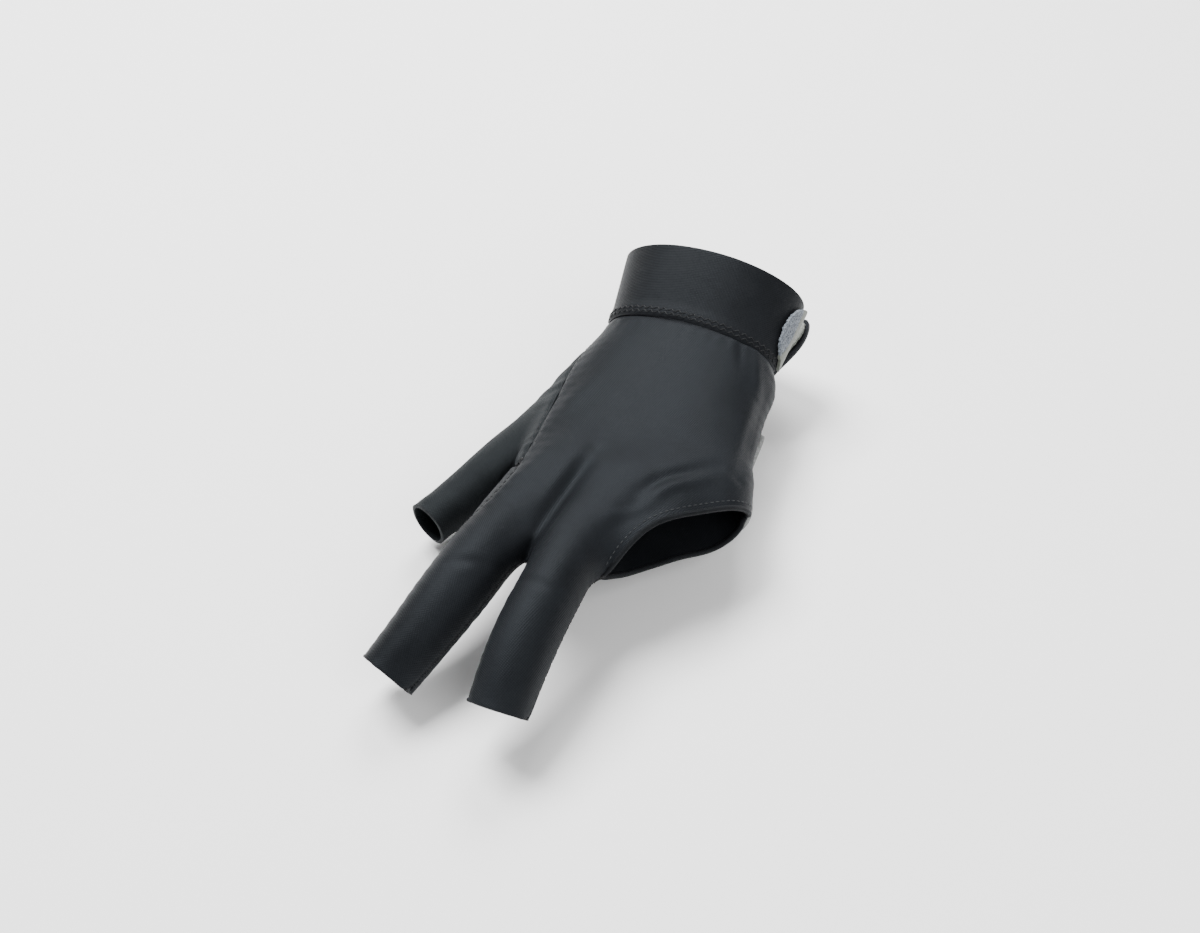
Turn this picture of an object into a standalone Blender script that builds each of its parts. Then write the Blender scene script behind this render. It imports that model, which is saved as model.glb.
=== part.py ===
"""A three-finger billiard glove for the left hand, held in the shape that it has when worn.

The glove is shaped on a form, which is the hand's outline as a smooth sum of limbs and a lofted palm.
Its cloth panels are grids laid on that form, given a wall and kept a seam's gap apart.
The origin is the middle of the cuff's hollow. Fingers point to -Y, the thumb to -X, the back is up.
"""
import math

import bmesh
import bpy
import numpy as np
from mathutils import Vector

# Cloth
FABRIC = 0.0012
SEAM_GAP = 0.0003
SEAM_DEPTH = 0.0060
UNDER_SPREAD = 1.12
STALL_FROM = 1.00
STALL_TWIST = 2
HEM_TAPE = 0.0015

# Cuff, an oval band that widens towards the forearm
CUFF_WIDTH = 0.0594
CUFF_DEPTH = 0.0378
CUFF_HEIGHT = 0.0270
CUFF_FLARE = 0.0054
CUFF_WALL = 0.0018
CUFF_STEP = 0.0004
CUFF_TILT = math.radians(21)
BAND_START = math.radians(-9)
BAND_LEAVES = math.radians(315)
STRAP_REACH = 0.0152
STRAP_LEAN = math.radians(12)
PATCH_WALL = 0.0010
PATCH_MARGIN = 0.0022
LOOP_SWEEP = math.radians(30)
LOOP_HALF = 0.46
HOOK_FROM = 0.08
HOOK_TO = 0.94

# Hand that the glove is shaped on
HAND_BREADTH = 0.0840
PALM_LENGTH = 0.0870
PALM_DEPTH = 0.0280
INDEX_LENGTH = 0.0815
INDEX_WIDTH = 0.0218
MIDDLE_LENGTH = 0.0810
MIDDLE_WIDTH = 0.0206
THUMB_LENGTH = 0.0450
THUMB_WIDTH = 0.0172
WEB_ROUND = 0.0095
THUMB_ROUND = 0.0088
PALM_ROUND = 0.0120

# Heel pad
PAD_WALL = 0.0014
PAD_GAP = 0.0006
PAD_LENGTH = 0.0370
PAD_WIDTH = 0.0300

# Mesh
PALM_ROWS = 16
KNUCKLE_ROW = 12
THUMB_ROWS = 11
FINGER_ROWS = 8
STRIP_COLUMNS = 6
RING_COLUMNS = 9
LEAF_ROWS = 4
STALL_ROWS = 4
BAND_STEPS = 44
BAND_ROWS = 3
STRAP_STEPS = 5
DENSE = 48

UP = np.array([0.0, 0.0, 1.0])
ULNAR = np.array([1.0, 0.0, 0.0])
DISTAL = np.array([0.0, -1.0, 0.0])

# The palm: along it, middle and half width as shares of the hand's breadth, middle and half depth as
# shares of the palm's depth, and how square the section is. The cuff gives the rows before these.
PALM_SECTIONS = (
    # along, middle_x, middle_z, half_width, half_depth, squareness
    (0.23, 0.020, -0.20, 0.380, 0.66, 2.1),
    (0.36, 0.018, -0.20, 0.388, 0.58, 2.3),
    (0.62, 0.022, -0.18, 0.414, 0.44, 2.5),
    (0.84, 0.010, -0.18, 0.412, 0.37, 2.5),
    (1.02, 0.020, -0.20, 0.400, 0.28, 2.4),
    (1.24, 0.010, -0.26, 0.300, 0.15, 2.2),
)
# The limbs: across, along and up as shares of the named length, then the radius as a share of the width.
INDEX_CHAIN = (
    # across, along, up, radius
    (0.000, 0.00, -0.010, 0.50),
    (-0.034, 0.13, -0.012, 0.50),
    (-0.094, 0.28, -0.018, 0.49),
    (-0.162, 0.60, -0.045, 0.505),
    (-0.214, 0.80, -0.105, 0.475),
    (-0.287, 1.00, -0.195, 0.43),
    (-0.327, 1.10, -0.245, 0.40),
)
MIDDLE_CHAIN = (
    (0.000, 0.00, 0.010, 0.54),
    (-0.005, 0.09, 0.018, 0.53),
    (-0.056, 0.28, 0.030, 0.51),
    (-0.067, 0.56, 0.025, 0.50),
    (-0.072, 0.76, -0.012, 0.50),
    (-0.075, 0.93, -0.085, 0.48),
    (-0.075, 1.00, -0.130, 0.47),
    (-0.075, 1.10, -0.195, 0.44),
)
RING_CHAIN = (
    (0.000, 0.00, 0.000, 0.125),
    (0.045, 0.32, -0.010, 0.118),
    (0.105, 0.55, -0.020, 0.110),
)
LITTLE_CHAIN = (
    (0.000, 0.00, 0.000, 0.088),
    (0.100, 0.22, -0.020, 0.080),
    (0.220, 0.42, -0.050, 0.076),
)
THUMB_CHAIN = (
    (0.470, -0.780, 0.100, 0.68),
    (0.260, -0.580, 0.050, 0.66),
    (0.092, -0.200, 0.010, 0.575),
    (0.012, 0.000, -0.006, 0.535),
    (-0.125, 0.244, -0.024, 0.505),
    (-0.226, 0.511, -0.042, 0.480),
    (-0.323, 0.767, -0.060, 0.452),
    (-0.424, 1.000, -0.078, 0.432),
    (-0.492, 1.150, -0.092, 0.420),
)


def unit(vectors):
    """Vectors of length one."""
    return vectors / np.linalg.norm(vectors, axis=-1, keepdims=True)


def glide(knots, values, at):
    """A smooth curve through the values at the knots, read at one or more places."""
    knots = np.asarray(knots, float)
    values = np.asarray(values, float)
    slopes = np.gradient(values, knots, axis=0)
    at = np.clip(np.atleast_1d(np.asarray(at, float)), knots[0], knots[-1])
    row = np.clip(np.searchsorted(knots, at, side="right") - 1, 0, len(knots) - 2)
    span = knots[row + 1] - knots[row]
    t = (at - knots[row]) / span
    if values.ndim > 1:
        span = span[:, None]
        t = t[:, None]
    start = (1 + 2 * t) * (1 - t) ** 2 * values[row] + t * (1 - t) ** 2 * span * slopes[row]
    end = t * t * (3 - 2 * t) * values[row + 1] + t * t * (t - 1) * span * slopes[row + 1]
    return start + end


def smooth(share):
    """A share that starts and ends gently."""
    share = np.clip(share, 0, 1)
    return share * share * (3 - 2 * share)


# Places that the tables are measured from
CUFF_AXIS = np.array([0.0, math.cos(CUFF_TILT), math.sin(CUFF_TILT)])
CUFF_UP = np.array([0.0, -math.sin(CUFF_TILT), math.cos(CUFF_TILT)])
SEAM_CENTRE = -CUFF_AXIS * CUFF_HEIGHT / 2
INDEX_KNUCKLE = np.array([-0.200 * HAND_BREADTH, -0.955 * PALM_LENGTH, -0.17 * PALM_DEPTH])
MIDDLE_KNUCKLE = np.array([0.040 * HAND_BREADTH, -1.000 * PALM_LENGTH, -0.15 * PALM_DEPTH])
RING_KNUCKLE = np.array([0.215 * HAND_BREADTH, -0.920 * PALM_LENGTH, -0.17 * PALM_DEPTH])
LITTLE_KNUCKLE = np.array([0.355 * HAND_BREADTH, -0.805 * PALM_LENGTH, -0.33 * PALM_DEPTH])
THUMB_KNUCKLE = np.array([-0.430 * HAND_BREADTH, -0.700 * PALM_LENGTH, -0.60 * PALM_DEPTH])


def chain_rows(table, knuckle, length, width):
    """A limb's places and radii, read closely from its table: rows of x, y, z and radius."""
    table = np.array(table)
    places = knuckle + table[:, :3] * np.array([1, -1, 1]) * length
    rows = np.column_stack([places, table[:, 3] * width])
    steps = np.concatenate([[0], np.cumsum(np.linalg.norm(np.diff(places, axis=0), axis=1))])
    return glide(steps, rows, np.linspace(0, steps[-1], 14))


INDEX = chain_rows(INDEX_CHAIN, INDEX_KNUCKLE, INDEX_LENGTH, INDEX_WIDTH)
MIDDLE = chain_rows(MIDDLE_CHAIN, MIDDLE_KNUCKLE, MIDDLE_LENGTH, MIDDLE_WIDTH)
RING = chain_rows(RING_CHAIN, RING_KNUCKLE, PALM_LENGTH, HAND_BREADTH)
LITTLE = chain_rows(LITTLE_CHAIN, LITTLE_KNUCKLE, PALM_LENGTH, HAND_BREADTH)
THUMB = chain_rows(THUMB_CHAIN, THUMB_KNUCKLE, THUMB_LENGTH, THUMB_WIDTH)


def palm_table():
    """The palm's sections in metres: along -Y, middle x and z, half width, half depth, squareness."""
    rows = []
    for side in (0.5, -0.5):
        flare = (side + 0.5) * CUFF_FLARE / 2
        centre = CUFF_AXIS * CUFF_HEIGHT * side
        depth = (CUFF_DEPTH / 2 + flare) / math.cos(CUFF_TILT)
        rows.append((-centre[1], centre[0], centre[2], CUFF_WIDTH / 2 + flare, depth, 2.0))
    for along, middle_x, middle_z, half_width, half_depth, squareness in PALM_SECTIONS:
        rows.append((along * PALM_LENGTH, middle_x * HAND_BREADTH, middle_z * PALM_DEPTH,
                     half_width * HAND_BREADTH, half_depth * PALM_DEPTH, squareness))
    return np.array(rows)


PALM = palm_table()


def palm_distance(points):
    """Roughly how far points lie outside the lofted palm."""
    along = -points[:, 1]
    middle_x, middle_z, half_width, half_depth, power = glide(PALM[:, 0], PALM[:, 1:], along).T
    across = np.abs(points[:, 0] - middle_x) / half_width
    above = np.abs(points[:, 2] - middle_z) / half_depth
    ratio = (across ** power + above ** power + 1e-12) ** (1 / power)
    return (ratio - 1) * half_depth + np.maximum(along - PALM[-1, 0], 0)


def limb_distance(points, chain):
    """How far points lie outside a limb of round section."""
    starts = chain[:-1, :3]
    steps = chain[1:, :3] - starts
    offset = points[:, None, :] - starts
    share = np.clip((offset * steps).sum(-1) / (steps ** 2).sum(-1), 0, 1)
    radius = chain[:-1, 3] + share * np.diff(chain[:, 3])
    return (np.linalg.norm(offset - share[..., None] * steps, axis=-1) - radius).min(1)


def join(first, second, width):
    """The lesser of two distances, rounded over where they are alike."""
    share = np.clip(0.5 + 0.5 * (first - second) / width, 0, 1)
    return first + (second - first) * share - width * share * (1 - share)


def hand_form(points):
    """How far points lie outside the hand without its thumb."""
    near = join(palm_distance(points), limb_distance(points, RING), PALM_ROUND)
    near = join(near, limb_distance(points, LITTLE), PALM_ROUND)
    near = join(near, limb_distance(points, MIDDLE), WEB_ROUND)
    return join(near, limb_distance(points, INDEX), WEB_ROUND)


def whole_form(points):
    """How far points lie outside the hand, which is the outside of the cloth."""
    return join(hand_form(points), limb_distance(points, THUMB), THUMB_ROUND)


def limb_form(chain):
    """The form of one limb alone."""
    return lambda points: limb_distance(points, chain)


def slope(points, form):
    """The way that a form faces at points."""
    step = 0.0002
    parts = [form(points + step * axis) - form(points - step * axis) for axis in np.eye(3)]
    return unit(np.stack(parts, 1))


def spots_at(points, form):
    """Places on a form with the way that it faces there: rows of six numbers."""
    return np.hstack([points, slope(points, form)])


def settle(points, form):
    """Points moved straight onto a form, as spots."""
    for _ in range(12):
        points = points - slope(points, form) * form(points)[:, None]
    return spots_at(points, form)


def touch(cores, ways, form):
    """The spots where lines that go out from cores inside a form reach it."""
    out = np.zeros(len(cores))
    for _ in range(120):
        out = out - form(cores + ways * out[:, None])
    return spots_at(cores + ways * out[:, None], form)


def turned(first, second, share):
    """Ways between two others, turned evenly."""
    share = np.atleast_1d(share)[:, None]
    angle = math.acos(float(np.clip(first @ second, -1, 1)))
    if angle < 1e-6:
        return np.repeat(first[None], len(share), 0)
    return (np.sin((1 - share) * angle) * first + np.sin(share * angle) * second) / math.sin(angle)


def share_out(spots, count, power=1):
    """A line's spots, spread evenly over its length, or more widely towards its end."""
    steps = np.linalg.norm(np.diff(spots[:, :3], axis=0), axis=1)
    steps = np.concatenate([[0], np.cumsum(steps)])
    at = steps[-1] * np.linspace(0, 1, count + 1) ** power
    spread = np.stack([np.interp(at, steps, spots[:, column]) for column in range(6)], 1)
    spread[:, 3:] = unit(spread[:, 3:])
    return spread


def across(left, right, over, columns, form):
    """One row of spots over a form, from one ray to another by way of the side that faces over.

    A ray is its core and its way.
    """
    share = np.linspace(0, 1, DENSE)
    half = DENSE // 2
    cores = left[0] + (right[0] - left[0]) * share[:, None]
    rise = turned(left[1], over, smooth(share[:half] * 2))
    fall = turned(over, right[1], smooth(share[half:] * 2 - 1))
    return share_out(touch(cores, np.vstack([rise, fall]), form), columns)


def bridge(first, last, lefts, rights, form):
    """Rows of spots between two others, drawn to the spots that are given for their ends."""
    share = np.linspace(0, 1, len(first))[:, None]
    rows = []
    for step, (left, right) in enumerate(zip(lefts, rights), 1):
        row = first[:, :3] + (last[:, :3] - first[:, :3]) * step / (len(lefts) + 1)
        drawn = (1 - share) ** 2 * (left[:3] - row[0]) + share ** 2 * (right[:3] - row[-1])
        row = settle(row + drawn, form)
        row[0] = left
        row[-1] = right
        rows.append(row)
    return rows


# The core lines that the palm rows start from: share of the way to the knuckles' end, then across, along
# and up as shares of the hand's breadth, the palm's length and the palm's depth.
CORE_LINES = {
    "radial": ((0.35, -0.225, 0.50, -0.18), (0.68, -0.275, 1.020, -0.18), (1.0, -0.325, 1.31, -0.24)),
    "valley": ((0.35, -0.075, 0.50, -0.17), (0.68, -0.080, 0.92, -0.17), (1.0, -0.166, 1.18, -0.22)),
    "web": ((0.35, 0.090, 0.50, -0.17), (0.68, 0.130, 0.92, -0.17), (1.0, 0.108, 1.20, -0.24)),
    "ulnar": ((0.35, 0.210, 0.36, -0.20), (0.68, 0.290, 0.60, -0.28), (1.0, 0.330, 0.835, -0.34)),
}
CORE_STARTS = {"radial": -0.24, "valley": -0.07, "web": 0.07, "ulnar": 0.24}
# How far the seam at the thumb's side turns up onto the back, in degrees, along the same rows.
SEAM_TURN = ((0.0, 0), (0.25, 14), (0.50, 32), (0.70, 50), (0.85, 56), (1.0, 42))
# The thumb seam's way under the hand: share of its length, then across, along and up as above.
PALM_SEAM = (
    (0.15, -0.360, 0.27, -0.62),
    (0.35, -0.350, 0.46, -0.82),
    (0.55, -0.355, 0.66, -0.88),
    (0.70, -0.362, 0.83, -0.78),
    (0.84, -0.376, 0.962, -0.47),
    (0.92, -0.402, 0.988, -0.18),
)
# A place inside the thumb's root, behind the web between it and the hand, as above.
THUMB_WEB = (-0.43, 0.70, -0.45)
# How often the way that the cloth faces is evened out along that seam
SEAM_EASING = 2
ULNAR_TURN = math.radians(12)
# How far the hem's binding cuts across the notch between its two ends
HEM_NOTCH = 0.5
# How far round the stalls their two seams lie, in degrees, at the crotch and at the mouth.
INDEX_TURNS = ((38, 14), (175, 180))
MIDDLE_TURNS = ((-24, 0), (208, 188))
# The hem's way over the back and under the palm, between its two ends, as above.
BACK_HEM = (
    (0.165, 1.285, -0.06),
    (0.220, 1.165, 0.22),
    (0.355, 1.035, 0.14),
    (0.445, 0.925, -0.10),
)
PALM_HEM = (
    (0.165, 1.210, -0.60),
    (0.260, 1.110, -0.66),
    (0.370, 1.010, -0.66),
    (0.440, 0.925, -0.58),
)
# How far the strap end reaches, as a share of its full reach, up the cuff's height.
STRAP_OUTLINE = ((0.0, 0.42), (0.3, 0.70), (0.7, 0.97), (0.9, 0.98), (1.0, 0.84))


def in_palm(row):
    """A place given as shares of the hand's breadth, the palm's length and the palm's depth."""
    return np.array([row[0] * HAND_BREADTH, -row[1] * PALM_LENGTH, row[2] * PALM_DEPTH])


def core_at(name, share):
    """A core line's place, a share of the way from the cuff to the knuckles' end."""
    start = SEAM_CENTRE + CORE_STARTS[name] * CUFF_WIDTH * ULNAR
    rows = CORE_LINES[name]
    return glide([0] + [row[0] for row in rows], [start] + [in_palm(row[1:]) for row in rows], share)[0]


def back_way(share):
    """The way that the back faces, which turns from the cuff's tilt to straight up."""
    tilt = CUFF_TILT * (1 - smooth(share / 0.4))
    return np.array([0.0, -math.sin(tilt), math.cos(tilt)])


def seam_ray(share):
    """The ray of the seam along the thumb's and the index finger's side."""
    turn = math.radians(glide(*np.array(SEAM_TURN).T, share)[0])
    return core_at("radial", share), -math.cos(turn) * ULNAR + math.sin(turn) * back_way(share)


def ulnar_ray(share):
    """The ray of the seam along the little finger's side."""
    return core_at("ulnar", share), math.cos(ULNAR_TURN) * ULNAR - math.sin(ULNAR_TURN) * back_way(share)


def touch_one(ray, form):
    """The spot where one ray meets a form."""
    return touch(ray[0][None], ray[1][None], form)[0]


def row_form(row):
    """The form under a row of the palm: past the thumb's web the thumb no longer counts."""
    return whole_form if row < THUMB_ROWS else hand_form


def thumb_seams():
    """The thumb piece's two seams, from the cuff to where they meet beside the index knuckle."""
    back = np.array([touch_one(seam_ray(row / PALM_ROWS), row_form(row)) for row in range(THUMB_ROWS + 1)])
    knots = [0] + [row[0] for row in PALM_SEAM] + [1]
    places = [back[0, :3]] + [in_palm(row[1:]) for row in PALM_SEAM] + [back[-1, :3]]
    line = settle(glide(knots, places, np.linspace(0, 1, 60)), whole_form)
    under = share_out(line, THUMB_ROWS, UNDER_SPREAD)
    under[0] = back[0]
    under[-1] = back[-1]
    for _ in range(SEAM_EASING):
        under[1:-1, 3:] = unit(under[:-2, 3:] + 2 * under[1:-1, 3:] + under[2:, 3:])
    return back, under


BACK_SEAM, UNDER_SEAM = thumb_seams()


def limb_steps(chain):
    """How far along a limb's axis each of its rows lies."""
    return np.concatenate([[0], np.cumsum(np.linalg.norm(np.diff(chain[:, :3], axis=0), axis=1))])


def limb_at(chain, at):
    """The place on a limb's axis at a distance along it, and the axis's way, side and back there."""
    steps = limb_steps(chain)
    reach = 0.004
    here, before, after = [
        np.array([np.interp(at + step, steps, chain[:, axis]) for axis in range(3)])
        for step in (0, -reach, reach)]
    way = unit(after - before)
    side = unit(np.cross(way, UP))
    return here, side, np.cross(side, way)


def limb_pass(chain, along):
    """How far along a limb's axis it passes a distance along -Y."""
    return float(np.interp(along, -chain[:, 1], limb_steps(chain)))


def finger_rows(chain, starts, mouth, turns, side):
    """A stall's rows past the crotch, from its thumb-side seam to its other seam."""
    rows = []
    for row in range(1, FINGER_ROWS + 1):
        rays = []
        for start, (first, last) in zip(starts, turns):
            place, beside, above = limb_at(chain, start + (mouth - start) * (row / FINGER_ROWS) ** 1.3)
            turn = first + (last - first) * smooth(row / FINGER_ROWS * 1.6)
            rays.append((place, math.cos(turn) * beside + math.sin(turn) * above))
        rows.append(across(rays[0], rays[1], side * above, STRIP_COLUMNS, limb_form(chain)))
    return rows


def dip_spots(first, last):
    """The spots down a dip between two fingers, from its first to its last in the crotch."""
    count = PALM_ROWS - KNUCKLE_ROW
    between = first[:3] + (last[:3] - first[:3]) * np.arange(1, count)[:, None] / count
    return np.vstack([settle(between, hand_form), last])


def hem_row(start, table, end):
    """The hem's row of spots."""
    places = [start[:3]] + [in_palm(row) for row in table] + [end[:3]]
    line = settle(glide(np.linspace(0, 1, len(places)), places, np.linspace(0, 1, DENSE)), hand_form)
    row = share_out(line, RING_COLUMNS)
    row[0] = start
    row[-1] = end
    return row


def palm_rows(side):
    """The rows of the three strips from the cuff to the knuckles."""
    strips = ([], [], [])
    for row in range(KNUCKLE_ROW + 1):
        share = row / PALM_ROWS
        form = row_form(row)
        over = side * back_way(share)
        left = seam_ray(share)
        if side < 0 and row < THUMB_ROWS - 2:
            left = (UNDER_SEAM[row, :3] - UNDER_SEAM[row, 3:] * SEAM_DEPTH, UNDER_SEAM[row, 3:])
        elif side < 0 and row < THUMB_ROWS:
            left = (left[0], unit(UNDER_SEAM[row, :3] - left[0]))
            form = hand_form
        valley = (core_at("valley", share), over)
        web = (core_at("web", share), over)
        strips[0].append(across(left, valley, over, STRIP_COLUMNS, form))
        strips[1].append(across(valley, web, over, STRIP_COLUMNS, form))
        strips[2].append(across(web, ulnar_ray(share), over, RING_COLUMNS, form))
        if side < 0 and row < THUMB_ROWS:
            strips[0][-1][0] = UNDER_SEAM[row]
    return strips


def panel_strips(side):
    """The three strips of one panel: over the index, over the middle and over the ring knuckle."""
    index_rows, middle_rows, ring_rows = palm_rows(side)
    crotch = touch_one((core_at("valley", 1), DISTAL), hand_form)
    web_end = touch_one((core_at("web", 1), DISTAL), hand_form)
    crotch[3:] = DISTAL
    shares = [row / PALM_ROWS for row in range(KNUCKLE_ROW + 1, PALM_ROWS + 1)]
    seam = [touch_one(seam_ray(share), hand_form) for share in shares]
    ulnar = [touch_one(ulnar_ray(share), hand_form) for share in shares]
    valley = dip_spots(index_rows[-1][-1], crotch)
    web = dip_spots(ring_rows[-1][0], web_end)
    index_starts = (limb_pass(INDEX, -seam[-1][1]), limb_pass(INDEX, -crotch[1]))
    middle_starts = (limb_pass(MIDDLE, -crotch[1]), limb_pass(MIDDLE, -web_end[1]))
    index_mouth = limb_pass(INDEX, INDEX_LENGTH - INDEX_KNUCKLE[1])
    middle_mouth = limb_pass(MIDDLE, MIDDLE_LENGTH - MIDDLE_KNUCKLE[1])
    index_stall = finger_rows(INDEX, index_starts, index_mouth, np.radians(INDEX_TURNS), side)
    middle_stall = finger_rows(MIDDLE, middle_starts, middle_mouth, np.radians(MIDDLE_TURNS), side)
    hem = hem_row(web_end, BACK_HEM if side > 0 else PALM_HEM, ulnar[-1])
    index_rows += bridge(index_rows[-1], index_stall[0], seam, valley, hand_form) + index_stall
    middle_rows += bridge(middle_rows[-1], middle_stall[0], valley, web, hand_form) + middle_stall
    ring_rows += bridge(ring_rows[-1], hem, web[:-1], ulnar[:-1], hand_form) + [hem]
    return index_rows, middle_rows, ring_rows


def add_grid(bm, rows):
    """Adds a grid of faces whose vertices lie at rows of spots, and notes which way the cloth faces."""
    facing = bm.verts.layers.float_vector["facing"]
    row_count, column_count = len(rows) - 1, len(rows[0]) - 1
    made = bmesh.ops.create_grid(bm, x_segments=column_count, y_segments=row_count, size=1)
    for vertex in made["verts"]:
        column = round((vertex.co.x + 1) / 2 * column_count)
        row = round((vertex.co.y + 1) / 2 * row_count)
        spot = rows[row][column]
        vertex.co = spot[:3]
        vertex[facing] = spot[3:]


def face_out(bm):
    """Turns the faces so that they look the way that was noted for their vertices."""
    facing = bm.verts.layers.float_vector["facing"]
    bm.normal_update()
    wrong = [face for face in bm.faces
             if sum(face.normal.dot(vertex[facing]) for vertex in face.verts) < 0]
    bmesh.ops.reverse_faces(bm, faces=wrong)


def edge_pull(vertex, way, gap):
    """How an edge vertex moves along the cloth so that its two edges each draw back by the gap."""
    inward = []
    for edge in vertex.link_edges:
        if not edge.is_boundary:
            continue
        along = (edge.other_vert(vertex).co - vertex.co).normalized()
        side = way.cross(along).normalized()
        if side.dot(edge.link_faces[0].calc_center_median() - vertex.co) < 0:
            side = -side
        inward.append(side)
    return (inward[0] + inward[1]) / max(1 + inward[0].dot(inward[1]), 0.12) * gap


def give_wall(bm, wall, gap=SEAM_GAP / 2):
    """Draws an open sheet's edges back by a seam's half gap and thickens it inwards."""
    facing = bm.verts.layers.float_vector["facing"]
    moves = {vertex: edge_pull(vertex, vertex[facing], gap) for vertex in bm.verts if vertex.is_boundary}
    for vertex, move in moves.items():
        vertex.co += move
    made = bmesh.ops.extrude_face_region(bm, geom=list(bm.faces), use_keep_orig=True)
    for item in made["geom"]:
        if isinstance(item, bmesh.types.BMVert):
            item.co -= Vector(item[facing]) * wall
    bmesh.ops.recalc_face_normals(bm, faces=list(bm.faces))


def material(name, colour, roughness):
    """A plain cloth finish."""
    made = bpy.data.materials.new(name)
    made.use_nodes = True
    shader = made.node_tree.nodes["Principled BSDF"]
    shader.inputs["Base Color"].default_value = (*colour, 1)
    shader.inputs["Roughness"].default_value = roughness
    shader.inputs["Metallic"].default_value = 0
    return made


def add_object(name, bm, finish):
    """Makes the bmesh an object of the glove's collection."""
    mesh = bpy.data.meshes.new(name)
    bm.to_mesh(mesh)
    bm.free()
    mesh.shade_smooth()
    mesh.set_sharp_from_angle(angle=math.radians(40))
    mesh.materials.append(finish)
    made = bpy.data.objects.new(name, mesh)
    GLOVE.objects.link(made)
    return made


def add_sheet(name, grids, wall, finish):
    """Grids of spots welded into one sheet, with a wall inwards from where they lie."""
    bm = bmesh.new()
    bm.verts.layers.float_vector.new("facing")
    for rows in grids:
        add_grid(bm, rows)
    bmesh.ops.remove_doubles(bm, verts=list(bm.verts), dist=2e-6)
    face_out(bm)
    bmesh.ops.triangulate(bm, faces=list(bm.faces), quad_method="SHORT_EDGE")
    give_wall(bm, wall)
    bmesh.ops.triangulate(bm, faces=list(bm.faces), quad_method="SHORT_EDGE")
    return add_object(name, bm, finish)


def add_thumb_stall(finish):
    """The thumb's tube, with the leaf that runs back to the cuff between the panels."""
    root = np.vstack([BACK_SEAM, UNDER_SEAM[-2::-1]])
    first = limb_pass(THUMB, STALL_FROM * PALM_LENGTH)
    mouth = limb_pass(THUMB, THUMB_LENGTH - THUMB_KNUCKLE[1])
    turns = (np.arange(len(root))[:, None] - STALL_TWIST) * math.pi / THUMB_ROWS
    rings = []
    for row in range(STALL_ROWS + 1):
        place, side, above = limb_at(THUMB, first + (mouth - first) * row / STALL_ROWS)
        ways = np.cos(turns) * side + np.sin(turns) * above
        rings.append(touch(np.repeat(place[None], len(root), 0), ways, limb_form(THUMB)))
    ways = np.where(np.cos(turns) > 0, -ULNAR, -DISTAL) * np.cos(turns) + UP * np.sin(turns)
    waist = touch(np.repeat(in_palm(THUMB_WEB)[None], len(root), 0), ways, whole_form)
    shares = np.arange(1, LEAF_ROWS)[:, None, None] / LEAF_ROWS
    fore = root[:, :3] + (waist[:, :3] - root[:, :3]) * shares
    aft = waist[:, :3] + (rings[0][:, :3] - waist[:, :3]) * shares
    rows = [root] + [settle(row, whole_form) for row in fore] + [waist]
    rows += [settle(row, whole_form) for row in aft] + rings
    for row in rows:
        row[-1] = row[0]
    return add_sheet("thumb_stall", [rows], FABRIC, finish)


def band_spot(angle, reach, height, proud):
    """A spot on the cuff's outside.

    The angle turns from the little finger's side over the back. The reach is how far past the point where
    the strap leaves the wrist, and the height is a share of the cuff's.
    """
    half_width = CUFF_WIDTH / 2 + CUFF_FLARE / 2 * height + CUFF_STEP
    half_depth = CUFF_DEPTH / 2 + CUFF_FLARE / 2 * height + CUFF_STEP
    centre = SEAM_CENTRE + CUFF_AXIS * CUFF_HEIGHT * height
    place = centre + math.cos(angle) * half_width * ULNAR + math.sin(angle) * half_depth * CUFF_UP
    out = unit(math.cos(angle) / half_width * ULNAR + math.sin(angle) / half_depth * CUFF_UP)
    way = unit(-math.sin(angle) * half_width * ULNAR + math.cos(angle) * half_depth * CUFF_UP)
    bend = STRAP_REACH * 0.3
    lean = STRAP_LEAN * min(reach / bend, 1)
    rise = lean * reach / 2 if reach < bend else STRAP_LEAN * (reach - bend / 2)
    face = unit(out - way * lean)
    return np.concatenate([place + way * reach + out * rise + face * proud, face])


def strap_reach(height):
    """How far the strap end reaches at a height."""
    return STRAP_REACH * glide(*np.array(STRAP_OUTLINE).T, height)[0]


def add_cuff(finish):
    """The band, from its end on the back round the wrist to the strap's rounded end."""
    rows = []
    for height in np.linspace(0, 1, BAND_ROWS + 1):
        line = [band_spot(turn, 0, height, 0) for turn in np.linspace(BAND_START, BAND_LEAVES, BAND_STEPS + 1)]
        reaches = np.linspace(0, strap_reach(height), STRAP_STEPS + 1)[1:]
        rows.append(line + [band_spot(BAND_LEAVES, reach, height, 0) for reach in reaches])
    return add_sheet("cuff", [rows], CUFF_WALL, finish)


def add_hook_patch(finish):
    """The smooth patch on the strap end's inside."""
    rows = []
    for height in np.linspace(HOOK_FROM, HOOK_TO, 7):
        reaches = np.linspace(0.12 * STRAP_REACH, strap_reach(height) - PATCH_MARGIN, 5)
        rows.append([band_spot(BAND_LEAVES, reach, height, -CUFF_WALL - SEAM_GAP) for reach in reaches])
    return add_sheet("hook_patch", [rows], PATCH_WALL, finish)


def add_loop_patch(finish):
    """The fuzzy patch on the band's end, rounded where it lies on the back."""
    rows = []
    start = BAND_START + math.radians(1)
    for swing in np.linspace(-1.35, 1.35, 11):
        height = 0.5 + LOOP_HALF * math.sin(swing)
        rows.append([band_spot(turn, 0, height, SEAM_GAP + PATCH_WALL)
                     for turn in np.linspace(start, start + LOOP_SWEEP * math.cos(swing), 6)])
    return add_sheet("loop_patch", [rows], PATCH_WALL, finish)


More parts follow.
